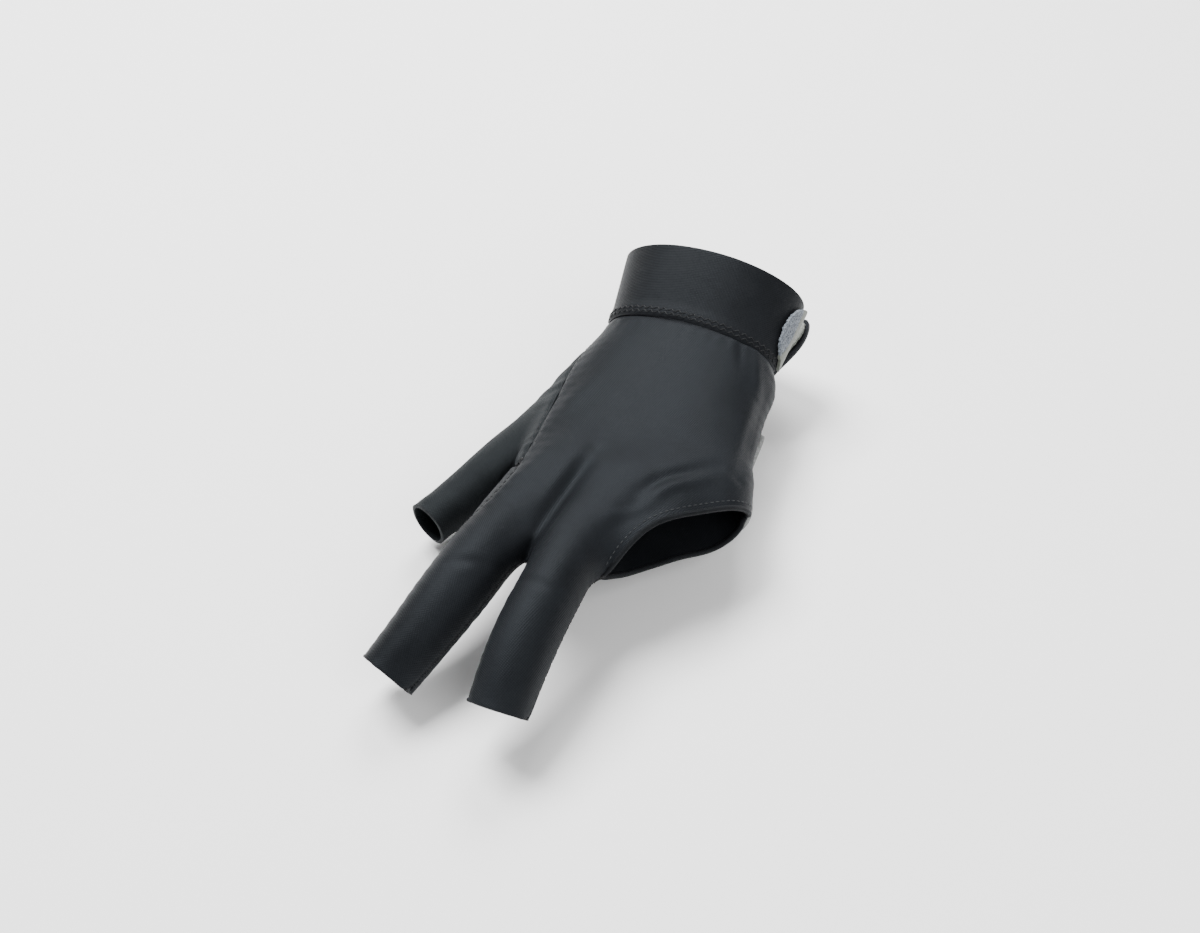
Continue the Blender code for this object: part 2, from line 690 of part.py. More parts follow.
def add_palm_pad(finish):
    """The heel pad, sewn on under the seam at the little finger's side."""
    shares = np.linspace(0, 0.97, 60)
    seam = np.array([touch_one(ulnar_ray(share), whole_form)[:3] for share in shares])
    steps = np.concatenate([[0], np.cumsum(np.linalg.norm(np.diff(seam, axis=0), axis=1))])
    rows = []
    for level in np.linspace(0, 1, 8):
        share = float(np.interp(steps[-1] - PAD_LENGTH * (1 - level), steps, shares))
        under = -back_way(share)
        core, way = ulnar_ray(share)
        line = across((core, unit(way + 0.10 * under)), (core_at("web", share), under), under, 40, whole_form)
        lengths = np.concatenate([[0], np.cumsum(np.linalg.norm(np.diff(line[:, :3], axis=0), axis=1))])
        width = min(PAD_WIDTH * (1 - 0.3 * (2 * level - 1) ** 4), lengths[-1])
        last = float(np.interp(width, lengths, np.arange(len(line))))
        at = np.linspace(0, last, 7)
        spots = np.stack([np.interp(at, np.arange(len(line)), line[:, column]) for column in range(6)], 1)
        spots = settle(spots[:, :3], whole_form)
        spots[:, :3] += spots[:, 3:] * (PAD_GAP + PAD_WALL)
        rows.append(spots)
    return add_sheet("palm_pad", [rows], PAD_WALL, finish)


def add_hem_binding(back_hem, palm_hem, inside, finish):
    """The bound rim round the opening for the ring and little fingers."""
    loop = np.vstack([back_hem, palm_hem[-2:0:-1]])
    inner = np.vstack([inside[0], inside[1][-2:0:-1]])[:, :3]
    ways = loop[:, 3:]
    loop = loop[:, :3]
    along = unit(np.roll(loop, -1, 0) - np.roll(loop, 1, 0))
    out = unit(np.cross(along, ways))
    out = out * np.sign(((loop - inner) * out).sum())
    centres = loop + out * (SEAM_GAP / 2 + HEM_TAPE / 2) - ways * FABRIC / 2
    centres[0] += HEM_NOTCH * ((centres[1] + centres[-1]) / 2 - centres[0])
    curve = bpy.data.curves.new("hem_binding", "CURVE")
    curve.dimensions = "3D"
    curve.bevel_depth = HEM_TAPE / 2
    curve.bevel_resolution = 2
    spline = curve.splines.new("POLY")
    spline.points.add(len(centres) - 1)
    for point, centre in zip(spline.points, centres):
        point.co = (*centre, 1)
    spline.use_cyclic_u = True
    curve.materials.append(finish)
    made = bpy.data.objects.new("hem_binding", curve)
    GLOVE.objects.link(made)
    return made


for old in list(bpy.data.objects):
    bpy.data.objects.remove(old)

GLOVE = bpy.data.collections.new("billiard_glove")
bpy.context.scene.collection.children.link(GLOVE)

BLACK_CLOTH = material("black stretch cloth", (0.012, 0.013, 0.015), 0.6)
THUMB_CLOTH = material("black thumb cloth", (0.016, 0.019, 0.020), 0.6)
BAND_CLOTH = material("black band cloth", (0.011, 0.012, 0.014), 0.65)
TAPE_CLOTH = material("black binding tape", (0.008, 0.008, 0.009), 0.7)
LOOP_CLOTH = material("blue-grey loop cloth", (0.22, 0.25, 0.29), 0.9)
HOOK_CLOTH = material("olive-grey hook tape", (0.19, 0.20, 0.18), 0.55)
PAD_CLOTH = material("grey pad cloth", (0.20, 0.21, 0.20), 0.8)

back = panel_strips(1)
palm = panel_strips(-1)
add_sheet("back_panel", back, FABRIC, BLACK_CLOTH)
add_sheet("palm_panel", palm, FABRIC, BLACK_CLOTH)
add_thumb_stall(THUMB_CLOTH)
add_cuff(BAND_CLOTH)
add_hook_patch(HOOK_CLOTH)
add_loop_patch(LOOP_CLOTH)
add_palm_pad(PAD_CLOTH)
add_hem_binding(back[2][-1], palm[2][-1], (back[2][-2], palm[2][-2]), TAPE_CLOTH)
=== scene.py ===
"""The looks of a billiard glove in its worn form: thin black stretch knit, a band with a closure of fuzzy
and smooth patches, and a grey pad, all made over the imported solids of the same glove."""
import math

import bmesh
import bpy
import numpy as np
from mathutils import Matrix, Vector, kdtree, noise
from mathutils.bvhtree import BVHTree


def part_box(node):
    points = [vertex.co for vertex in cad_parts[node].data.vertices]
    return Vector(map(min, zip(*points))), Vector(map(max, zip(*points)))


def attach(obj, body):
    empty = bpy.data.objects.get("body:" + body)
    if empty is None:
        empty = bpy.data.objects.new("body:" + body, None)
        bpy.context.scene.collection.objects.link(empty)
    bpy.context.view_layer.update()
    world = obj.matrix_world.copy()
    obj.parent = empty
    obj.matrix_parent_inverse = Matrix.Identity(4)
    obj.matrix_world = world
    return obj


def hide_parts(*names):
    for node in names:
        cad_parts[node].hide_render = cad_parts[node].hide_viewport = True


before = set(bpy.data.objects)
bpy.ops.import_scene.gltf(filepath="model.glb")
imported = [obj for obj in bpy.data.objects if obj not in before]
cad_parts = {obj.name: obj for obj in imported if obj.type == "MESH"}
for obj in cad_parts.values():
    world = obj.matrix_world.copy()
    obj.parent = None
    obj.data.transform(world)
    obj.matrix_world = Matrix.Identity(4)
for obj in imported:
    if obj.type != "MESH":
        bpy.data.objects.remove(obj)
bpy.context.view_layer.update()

# The back panel is one cut of thin black stretch knit, which runs from the cuff along the tops of the
# index and middle stalls. It is sewn to its neighbours along its edges, so it is pulled smooth, creases
# where the two stalls meet and puckers a little beside each seam.
CLOTH_WALL = 0.0012
WELD = 0.000002
RUNG_SLACK = 0.000004
CLOTH_LEVELS = 3
SEAM_REACH = 0.0022
SEAM_SINK = 0.00040
SEAM_ROLL = 0.0011
SHORTEST_RUN = 8
PUCKER_HEIGHT = 0.00020
PUCKER_PITCH = 0.0046
PUCKER_REACH = 0.0045
PUCKER_DRIFT = 0.012
SLACK_HEIGHT = 0.00022
SLACK_SIZE = 0.016
KNIT_PITCH = 0.00062
KNIT_RELIEF = 0.00010
STAPLE = 0.0009
CURL_WIDTH = 0.0011
CURL_RISE = 0.00026
CURL_DRIFT = 0.004
FOLD_STRAY = 0.0016
FOLD_DRIFT = 0.018
FOLD_TURN = 2.5
SOFT_EDGE = 0.0003
BACK_FOLDS = (
    # from and to, as shares of the panel's box across and along, then width and height in metres
    (0.445, 0.580, 0.385, 0.345, 0.0040, -0.00180),
    (0.640, 0.470, 0.830, 0.590, 0.0028, 0.00062),
    (0.650, 0.510, 0.850, 0.640, 0.0030, -0.00060),
    (0.600, 0.420, 0.720, 0.500, 0.0024, 0.00050),
    (0.885, 0.930, 0.925, 0.640, 0.0028, -0.00095),
    (0.800, 0.975, 0.870, 0.860, 0.0022, 0.00050),
    (0.735, 0.975, 0.790, 0.890, 0.0022, -0.00044),
    (0.600, 0.360, 0.700, 0.560, 0.0036, -0.00055),
    (0.290, 0.560, 0.180, 0.400, 0.0036, 0.00040),
    (0.165, 0.240, 0.280, 0.262, 0.0022, -0.00046),
    (0.420, 0.235, 0.560, 0.225, 0.0022, -0.00044),
    (0.330, 0.800, 0.240, 0.640, 0.0044, 0.00042),
)


def islands(bm):
    """The groups of faces that hang together."""
    todo = {face.index: face for face in bm.faces}
    groups = []
    while todo:
        stack = [todo.pop(next(iter(todo)))]
        group = []
        while stack:
            face = stack.pop()
            group.append(face)
            for edge in face.edges:
                for other in edge.link_faces:
                    if todo.pop(other.index, None):
                        stack.append(other)
        groups.append(group)
    return groups


def outer_cloth(node, wall):
    """The outside of a cloth node as one open sheet, without its wall's rim and its inside."""
    bm = bmesh.new()
    bm.from_mesh(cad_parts[node].data)
    bmesh.ops.remove_doubles(bm, verts=list(bm.verts), dist=WELD)
    rungs = [edge for edge in bm.edges if abs(edge.calc_length() - wall) < RUNG_SLACK]
    rim = {face.index: face for edge in rungs for face in edge.link_faces}
    bmesh.ops.delete(bm, geom=list(rim.values()), context="FACES")
    bm.faces.index_update()
    groups = islands(bm)
    outside = max(groups, key=lambda group: sum(face.calc_area() for face in group))
    for group in groups:
        if group is not outside:
            bmesh.ops.delete(bm, geom=group, context="FACES")
    bmesh.ops.join_triangles(bm, faces=list(bm.faces), angle_face_threshold=math.radians(50),
                             angle_shape_threshold=math.radians(70))
    return bm


def lay_flat(piece):
    """Unwraps a sheet as the flat cut that it was, in metres, and gives the cut's size and area."""
    bpy.context.view_layer.objects.active = piece
    piece.select_set(True)
    bpy.ops.object.mode_set(mode="EDIT")
    bpy.ops.mesh.select_all(action="SELECT")
    bpy.ops.uv.unwrap(method="ANGLE_BASED", margin=0)
    bpy.ops.object.mode_set(mode="OBJECT")
    piece.select_set(False)
    mesh = piece.data
    spots = np.zeros(len(mesh.loops) * 2)
    mesh.uv_layers[0].uv.foreach_get("vector", spots)
    spots = spots.reshape(-1, 2)
    flat_area = 0
    for face in mesh.polygons:
        ring = spots[list(face.loop_indices)]
        after = np.roll(ring, -1, 0)
        flat_area += abs((ring[:, 0] * after[:, 1] - ring[:, 1] * after[:, 0]).sum()) / 2
    area = sum(face.area for face in mesh.polygons)
    spots = (spots - spots.min(0)) * math.sqrt(area / flat_area)
    mesh.uv_layers[0].uv.foreach_set("vector", spots.ravel())
    return [float(size) for size in spots.max(0)], area


def smooth_cloth(name, bm, levels):
    """A sheet object of close quads, rounded from the few of its bmesh, with its flat size and area."""
    mesh = bpy.data.meshes.new(name)
    bm.to_mesh(mesh)
    bm.free()
    piece = bpy.data.objects.new(name, mesh)
    bpy.context.scene.collection.objects.link(piece)
    flat, area = lay_flat(piece)
    rounding = piece.modifiers.new("rounding", "SUBSURF")
    rounding.levels = levels
    rounding.render_levels = levels
    seen = piece.evaluated_get(bpy.context.evaluated_depsgraph_get())
    rounded = bpy.data.meshes.new_from_object(seen)
    piece.modifiers.clear()
    piece.data = rounded
    rounded.name = name
    return piece, flat, area


def spots_of(mesh):
    """A mesh's places and the ways that they face."""
    places = np.zeros(len(mesh.vertices) * 3)
    facings = np.zeros(len(mesh.vertices) * 3)
    mesh.vertices.foreach_get("co", places)
    mesh.vertex_normals.foreach_get("vector", facings)
    return places.reshape(-1, 3), facings.reshape(-1, 3)


def lift(piece, heights):
    """Moves the cloth out along the ways that it faces."""
    places, facings = spots_of(piece.data)
    piece.data.vertices.foreach_set("co", (places + facings * heights[:, None]).ravel())
    piece.data.update()


def edge_lines(mesh):
    """The lines of vertex numbers round a sheet's edges, in order, each closed on itself."""
    bm = bmesh.new()
    bm.from_mesh(mesh)
    todo = {edge.index: edge for edge in bm.edges if edge.is_boundary}
    lines = []
    while todo:
        edge = todo.pop(next(iter(todo)))
        chain = [edge.verts[0], edge.verts[1]]
        ahead = edge
        while ahead is not None:
            ahead = next((side for side in chain[-1].link_edges if side.index in todo), None)
            if ahead is not None:
                todo.pop(ahead.index)
                chain.append(ahead.other_vert(chain[-1]))
        lines.append([vertex.index for vertex in chain[:-1]])
    bm.free()
    return lines


def edge_runs(piece, partners, free=False):
    """The stretches of a sheet's edge beside the partner nodes, or free of them, as place and facing."""
    trees = [BVHTree.FromPolygons([vertex.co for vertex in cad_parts[name].data.vertices],
                                  [face.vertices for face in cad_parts[name].data.polygons])
             for name in partners]
    spots = np.hstack(spots_of(piece.data))
    runs = []
    for line in edge_lines(piece.data):
        beside = np.array([any(tree.find_nearest(Vector(spots[number, :3]), SEAM_REACH)[0]
                               for tree in trees) for number in line]) != free
        if beside.all():
            runs.append(spots[line + line[:1]])
            continue
        first = int(np.argmin(beside))
        line = np.roll(line, -first)
        beside = np.roll(beside, -first)
        breaks = np.flatnonzero(np.diff(np.concatenate([[0], beside.astype(int), [0]])))
        for start, end in zip(breaks[::2], breaks[1::2]):
            if end - start > SHORTEST_RUN:
                runs.append(spots[line[start:end]])
    return runs


def lengths_along(run):
    """How far along a run each of its places lies."""
    return np.concatenate([[0], np.cumsum(np.linalg.norm(np.diff(run[:, :3], axis=0), axis=1))])


def wander(places, size, seed):
    """Soft uneven values from -1 to 1, alike over about the size given."""
    return np.array([noise.noise(Vector(place / size) + Vector((seed, 0, 0))) for place in places])


def from_runs(places, runs):
    """How far places lie from the nearest run, and how far along the run that is."""
    rows = [(spot[:3], along) for run in runs for spot, along in zip(run, lengths_along(run))]
    tree = kdtree.KDTree(len(rows))
    for number, (place, along) in enumerate(rows):
        tree.insert(Vector(place), number)
    tree.balance()
    found = [tree.find(Vector(place)) for place in places]
    return np.array([hit[2] for hit in found]), np.array([rows[hit[1]][1] for hit in found])


def beside_seams(places, runs):
    """How the cloth rolls in and puckers beside its seams."""
    far, along = from_runs(places, runs)
    drift = wander(places, PUCKER_DRIFT, 3)
    ripple = np.sin(2 * math.pi * along / PUCKER_PITCH + 2.5 * drift) * (0.65 + 0.6 * drift)
    ripple *= np.exp(-far / PUCKER_REACH) * far / (far + SEAM_ROLL)
    return PUCKER_HEIGHT * ripple - SEAM_SINK * np.exp(-(far / SEAM_ROLL) ** 2)


def curled_edge(places, runs):
    """How a stall's cut edge curls out a little and unevenly."""
    far, _ = from_runs(places, runs)
    return CURL_RISE * np.exp(-far / CURL_WIDTH) * (1 + 0.9 * wander(places, CURL_DRIFT, 15))


def folded(places, facings, node, folds, side):
    """How far folds lift the side of a panel that faces up or down."""
    low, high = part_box(node)
    low = np.array(low[:2])
    size = np.array(high[:2]) - low
    stray = np.stack([wander(places, FOLD_DRIFT, seed) for seed in (7, 11)], 1)
    seen = places[:, :2] + FOLD_STRAY * stray
    heights = np.zeros(len(places))
    for row in folds:
        width, height = row[4:]
        start = low + size * row[0:2]
        span = low + size * row[2:4] - start
        share = np.clip((seen - start) @ span / (span @ span), 0, 1)
        far = np.linalg.norm(seen - start - share[:, None] * span, axis=1)
        taper = np.sin(math.pi * np.clip(share, 0.06, 0.94)) ** 0.6
        heights += height * (1 - (far / width) ** 2) * np.exp(-(far / width) ** 2) * taper
    return heights * np.clip(side * facings[:, 2] * FOLD_TURN, 0, 1)


def add_node(tree, kind, inputs=(), **settings):
    """A shader node with its settings, and with its inputs set or wired."""
    made = tree.nodes.new(kind)
    for name, value in settings.items():
        setattr(made, name, value)
    for name, value in dict(inputs).items():
        if isinstance(value, bpy.types.NodeSocket):
            tree.links.new(value, made.inputs[name])
        else:
            made.inputs[name].default_value = value
    return made


def wave_scale(pitch):
    """The scale that gives the bands of a wave texture their pitch in metres, as it counts in twentieths."""
    return 2 * math.pi / 20 / pitch


def knit_finish(name, dark, pale, sheen=0.012, rough=(0.40, 0.54), pitch=KNIT_PITCH):
    """Fine stretch knit: wales and courses on the flat cut, short staple, soft changes of tone, and painted
    shade where the knit's relief is low.
    """
    finish = bpy.data.materials.new(name)
    finish.use_nodes = True
    tree = finish.node_tree
    shader = tree.nodes["Principled BSDF"]
    coords = add_node(tree, "ShaderNodeTexCoord")
    wales = add_node(tree, "ShaderNodeTexWave", {
        "Vector": coords.outputs["UV"], "Scale": wave_scale(pitch), "Distortion": 0.6,
        "Detail": 1.0, "Detail Scale": 2.0}, bands_direction="X")
    courses = add_node(tree, "ShaderNodeTexWave", {
        "Vector": coords.outputs["UV"], "Scale": wave_scale(pitch * 0.8), "Distortion": 0.6,
        "Detail": 1.0, "Detail Scale": 2.0}, bands_direction="Y")
    staple = add_node(tree, "ShaderNodeTexNoise", {
        "Vector": coords.outputs["Object"], "Scale": 1 / STAPLE, "Detail": 3.0, "Roughness": 0.6})
    tone = add_node(tree, "ShaderNodeTexNoise", {
        "Vector": coords.outputs["Object"], "Scale": 38.0, "Detail": 3.0, "Roughness": 0.55})
    crossing = add_node(tree, "ShaderNodeMath", {
        0: wales.outputs["Fac"], 1: courses.outputs["Fac"]}, operation="ADD")
    relief = add_node(tree, "ShaderNodeMath", {
        0: staple.outputs["Fac"], 1: 0.9, 2: crossing.outputs[0]}, operation="MULTIPLY_ADD")
    bump = add_node(tree, "ShaderNodeBump", {
        "Strength": 0.45, "Distance": KNIT_RELIEF, "Height": relief.outputs[0]})
    # The colour is partly tone that differs at random and partly painted shade: the ramp darkens where the
    # knit's relief is low.
    blend = add_node(tree, "ShaderNodeMath", {
        0: relief.outputs[0], 1: 0.16, 2: tone.outputs["Fac"]}, operation="MULTIPLY_ADD")
    ramp = add_node(tree, "ShaderNodeValToRGB", {"Fac": blend.outputs[0]})
    ramp.color_ramp.elements[0].position = 0.42
    ramp.color_ramp.elements[0].color = (*dark, 1)
    ramp.color_ramp.elements[1].position = 0.92
    ramp.color_ramp.elements[1].color = (*pale, 1)
    rub = add_node(tree, "ShaderNodeMapRange", {
        "Value": blend.outputs[0], "From Min": 0.35, "From Max": 0.95,
        "To Min": rough[0], "To Max": rough[1]})
    tree.links.new(ramp.outputs["Color"], shader.inputs["Base Color"])
    tree.links.new(rub.outputs[0], shader.inputs["Roughness"])
    tree.links.new(bump.outputs["Normal"], shader.inputs["Normal"])
    shader.inputs["Sheen Weight"].default_value = sheen
    shader.inputs["Sheen Roughness"].default_value = 0.42
    shader.inputs["Sheen Tint"].default_value = (0.60, 0.66, 0.75, 1)
    shader.inputs["Specular IOR Level"].default_value = 0.085
    shader.inputs["Specular Tint"].default_value = (0.80, 0.90, 1.0, 1)
    return finish


def close_up(piece, wall, soft_edge, finish, slot, *nodes):
    """Gives a sheet its wall, soft edges and finish, and puts it in its node's place."""
    if wall:
        depth = piece.modifiers.new("wall", "SOLIDIFY")
        depth.thickness = wall
        depth.offset = -1
    if soft_edge:
        edge = piece.modifiers.new("soft edge", "BEVEL")
        edge.width = soft_edge
        edge.segments = 2
        edge.limit_method = "ANGLE"
        edge.angle_limit = math.radians(50)
    piece.data.shade_smooth()
    piece.data.materials.clear()
    piece.data.materials.append(finish)
    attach(piece, "root")
    if nodes:
        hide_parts(*nodes)


black_knit = knit_finish("black stretch knit", (0.0022, 0.0025, 0.0030), (0.0080, 0.0090, 0.0106))
back_cut = outer_cloth("back_panel", CLOTH_WALL)
back_panel, back_flat, back_area = smooth_cloth("back_cloth", back_cut, CLOTH_LEVELS)
back_seams = edge_runs(back_panel, ("palm_panel", "thumb_stall", "cuff"))
back_mouths = edge_runs(back_panel, ("palm_panel", "thumb_stall", "cuff", "hem_binding"), free=True)
places, facings = spots_of(back_panel.data)
back_heights = beside_seams(places, back_seams) + SLACK_HEIGHT * wander(places, SLACK_SIZE, 1)
back_heights += curled_edge(places, back_mouths) + folded(places, facings, "back_panel", BACK_FOLDS, 1)
lift(back_panel, back_heights)
close_up(back_panel, CLOTH_WALL, SOFT_EDGE, black_knit, "black_stretch_cloth", "back_panel")

# The palm panel is the matching cut on the underside, of the same knit. It swells below the thumb stall,
# is hollow in its middle, and closes the undersides of the index and middle stalls.
PALM_FOLDS = (
    (0.420, 0.560, 0.400, 0.360, 0.0034, -0.00070),
    (0.300, 0.860, 0.560, 0.640, 0.0040, -0.00055),
    (0.250, 0.700, 0.480, 0.560, 0.0036, 0.00040),
    (0.560, 0.720, 0.760, 0.560, 0.0034, 0.00040),
    (0.180, 0.300, 0.300, 0.290, 0.0022, -0.00040),
    (0.420, 0.280, 0.560, 0.270, 0.0022, -0.00040),
    (0.190, 0.180, 0.290, 0.170, 0.0020, -0.00034),
    (0.430, 0.160, 0.560, 0.150, 0.0020, -0.00034),
)

palm_cut = outer_cloth("palm_panel", CLOTH_WALL)
palm_panel, palm_flat, palm_area = smooth_cloth("palm_cloth", palm_cut, CLOTH_LEVELS)
palm_seams = edge_runs(palm_panel, ("back_panel", "thumb_stall", "cuff"))
palm_mouths = edge_runs(palm_panel, ("back_panel", "thumb_stall", "cuff", "hem_binding"), free=True)
places, facings = spots_of(palm_panel.data)
palm_heights = beside_seams(places, palm_seams) + SLACK_HEIGHT * wander(places, SLACK_SIZE, 2)
palm_heights += curled_edge(places, palm_mouths) + folded(places, facings, "palm_panel", PALM_FOLDS, -1)
lift(palm_panel, palm_heights)
close_up(palm_panel, CLOTH_WALL, SOFT_EDGE, black_knit, "black_stretch_cloth", "palm_panel")

# The thumb stall is a tube of a slightly greyer, duller knit, with a leaf that runs back between the two
# panels to the cuff. It is sewn to itself along its underside, which is where its flat cut ends, and it
# lies in slack rings.
RING_HEIGHT = 0.00022
RING_PITCH = 0.0085
RING_DRIFT = 0.015
RING_PATCHES = 0.02
MOUTH_REACH = 0.012


def split_under(bm):
    """Marks the line along the stall's underside where the cut's two long edges are sewn together."""
    rims = [vertex.co for vertex in bm.verts if vertex.is_boundary]
    tip = min(place.y for place in rims)
    mouth = [place for place in rims if place.y < tip + MOUTH_REACH]
    centre = sum(mouth, Vector()) / len(mouth)
    axis = (sum(rims, Vector()) / len(rims) - centre).normalized()
    side = axis.cross(Vector((0, 0, -1))).normalized()
    down = side.cross(axis).normalized()
    turns = {}
    for face in bm.faces:
        offset = face.calc_center_median() - centre
        turns[face.index] = math.atan2(offset.dot(side), offset.dot(down))
    for edge in bm.edges:
        if len(edge.link_faces) == 2:
            first, second = [turns[face.index] for face in edge.link_faces]
            edge.seam = first * second < 0 and max(abs(first), abs(second)) < math.pi / 2


thumb_cut = outer_cloth("thumb_stall", CLOTH_WALL)
thumb_cut.faces.index_update()
split_under(thumb_cut)
thumb_knit = knit_finish("thumb knit", (0.0030, 0.0036, 0.0040), (0.0095, 0.0110, 0.0118), sheen=0.035,
                         rough=(0.52, 0.64))
thumb_stall, thumb_flat, thumb_area = smooth_cloth("thumb_cloth", thumb_cut, CLOTH_LEVELS)
thumb_seams = edge_runs(thumb_stall, ("back_panel", "palm_panel"))
thumb_mouths = edge_runs(thumb_stall, ("back_panel", "palm_panel", "cuff"), free=True)
places, facings = spots_of(thumb_stall.data)
thumb_heights = beside_seams(places, thumb_seams) + SLACK_HEIGHT * wander(places, SLACK_SIZE, 5)
thumb_heights += curled_edge(places, thumb_mouths)
rings = np.sin(2 * math.pi * places[:, 1] / RING_PITCH + 3 * wander(places, RING_DRIFT, 6))
thumb_heights += RING_HEIGHT * rings * np.clip(0.4 + wander(places, RING_PATCHES, 9), 0, 1)
lift(thumb_stall, thumb_heights)
close_up(thumb_stall, CLOTH_WALL, SOFT_EDGE, thumb_knit, "black_thumb_cloth", "thumb_stall")

# The cuff is a doubled band of the same knit, folded over at its rim. It is sewn round the open end of
# the panels, with a small step where the doubled part ends, and its free end is the strap that closes
# over the fuzzy patch.
CUFF_WALL = 0.0018
CUFF_TILT = math.radians(21)
CUFF_HEIGHT = 0.0270
CUFF_SOFT_EDGE = 0.0006
DOUBLED_FROM = 0.0046
DOUBLED_STEP = 0.00034
DOUBLED_SLOPE = 0.00022
CUFF_SEAM_SINK = 0.00050
CUFF_SEAM_ROLL = 0.0009

cuff, cuff_flat, cuff_area = smooth_cloth("cuff_band", outer_cloth("cuff", CUFF_WALL), CLOTH_LEVELS)
cuff_axis = np.array([0, math.cos(CUFF_TILT), math.sin(CUFF_TILT)])
places, facings = spots_of(cuff.data)
up_the_cuff = places @ cuff_axis + CUFF_HEIGHT / 2
cuff_heights = SLACK_HEIGHT * wander(places, SLACK_SIZE, 8)
cuff_heights -= DOUBLED_STEP / (1 + np.exp((DOUBLED_FROM - up_the_cuff) / DOUBLED_SLOPE))
cuff_heights -= CUFF_SEAM_SINK * np.exp(-(up_the_cuff / CUFF_SEAM_ROLL) ** 2)
lift(cuff, cuff_heights)
band_knit = knit_finish("band knit", (0.0022, 0.0024, 0.0028), (0.0074, 0.0080, 0.0092))
close_up(cuff, CUFF_WALL - DOUBLED_STEP, CUFF_SOFT_EDGE, band_knit, "black_band_cloth", "cuff")

# The seams are rolled inwards and closed with thread. A dotted top stitch shows on both sides of the
# thumb stall's seam, a tight overlock makes a ridge along the finger stalls' sides, and each of those
# seams ends in a small knot.
THREAD = 0.00034
STITCH_PITCH = 0.0026
STITCH_LENGTH = 0.0017
STITCH_SIDE = 0.0013
STITCH_RISE = 0.00005
OVERLOCK_PITCH = 0.0011
OVERLOCK_LENGTH = 0.0017
OVERLOCK_LEAN = math.radians(62)
ROLL_WIDTH = 0.0011
ROLL_DEPTH = 0.00075
KNOT = 0.0011
KNOT_LUMPS = 1400


def thread_finish(name, dark, pale, rough):
    """Twisted thread with a dry shine and uneven tone."""
    finish = bpy.data.materials.new(name)
    finish.use_nodes = True
    tree = finish.node_tree
    shader = tree.nodes["Principled BSDF"]
    coords = add_node(tree, "ShaderNodeTexCoord")
    fibre = add_node(tree, "ShaderNodeTexNoise", {
        "Vector": coords.outputs["Object"], "Scale": 3200.0, "Detail": 2.0, "Roughness": 0.6})
    tone = add_node(tree, "ShaderNodeTexNoise", {
        "Vector": coords.outputs["Object"], "Scale": 160.0, "Detail": 2.0})
    blend = add_node(tree, "ShaderNodeMath", {
        0: fibre.outputs["Fac"], 1: 0.5, 2: tone.outputs["Fac"]}, operation="MULTIPLY_ADD")
    ramp = add_node(tree, "ShaderNodeValToRGB", {"Fac": blend.outputs[0]})
    ramp.color_ramp.elements[0].position = 0.45
    ramp.color_ramp.elements[0].color = (*dark, 1)
    ramp.color_ramp.elements[1].position = 1.0
    ramp.color_ramp.elements[1].color = (*pale, 1)
    bump = add_node(tree, "ShaderNodeBump", {
        "Strength": 0.5, "Distance": 0.00006, "Height": fibre.outputs["Fac"]})
    tree.links.new(ramp.outputs["Color"], shader.inputs["Base Color"])
    tree.links.new(bump.outputs["Normal"], shader.inputs["Normal"])
    shader.inputs["Roughness"].default_value = rough
    shader.inputs["Specular IOR Level"].default_value = 0.2
    shader.inputs["Sheen Weight"].default_value = 0.03
    return finish


def settle_run(run, piece):
    """A run laid on the surface of a finished cloth."""
    places, facings = spots_of(piece.data)
    tree = BVHTree.FromPolygons([Vector(place) for place in places],
                                [face.vertices for face in piece.data.polygons])
    settled = run.copy()
    for row in settled:
        place, facing, _, _ = tree.find_nearest(Vector(row[:3]))
        row[:3] = place
        row[3:] = facing if facing.dot(Vector(row[3:])) > 0 else -facing
    return settled


def row_inside(run, piece, width):
    """A run on a finished cloth, the width given in from its edge."""
    inward = np.cross(run[:, 3:], np.gradient(run[:, :3], axis=0))
    inward /= np.linalg.norm(inward, axis=1, keepdims=True)
    inward *= np.sign(((spots_of(piece.data)[0].mean(0) - run[:, :3]) * inward).sum())
    row = run.copy()
    row[:, :3] += inward * width
    return settle_run(row, piece)


def add_stitches(bm, run, pitch, length, thick, side=0.0, lean=0.0, rise=0.0):
    """Lays stitches of thread along a run, each a little bead drawn long."""
    steps = lengths_along(run)
    count = max(int(steps[-1] / pitch), 1)
    for number in range(count):
        at = (number + 0.5) * steps[-1] / count
        place = Vector([np.interp(at, steps, run[:, axis]) for axis in range(3)])
        facing = Vector([np.interp(at, steps, run[:, 3 + axis]) for axis in range(3)]).normalized()
        ahead = Vector([np.interp(at + pitch / 2, steps, run[:, axis]) -
                        np.interp(at - pitch / 2, steps, run[:, axis]) for axis in range(3)])
        across = facing.cross(ahead).normalized()
        ahead = across.cross(facing).normalized()
        turn = lean if number % 2 else -lean
        way = math.cos(turn) * ahead + math.sin(turn) * across
        place += across * side + facing * rise
        bead = Matrix((way * length / 2, facing.cross(way) * thick / 2, facing * thick / 2))
        bmesh.ops.create_uvsphere(bm, u_segments=6, v_segments=4, radius=1,
                                  matrix=Matrix.Translation(place) @ bead.transposed().to_4x4())


def add_piece(name, bm, finish, slot):
    """A finished piece from the bmesh of its threads."""
    bmesh.ops.recalc_face_normals(bm, faces=list(bm.faces))
    mesh = bpy.data.meshes.new(name)
    bm.to_mesh(mesh)
    bm.free()
    piece = bpy.data.objects.new(name, mesh)
    bpy.context.scene.collection.objects.link(piece)
    close_up(piece, 0, 0, finish, slot)
    return piece


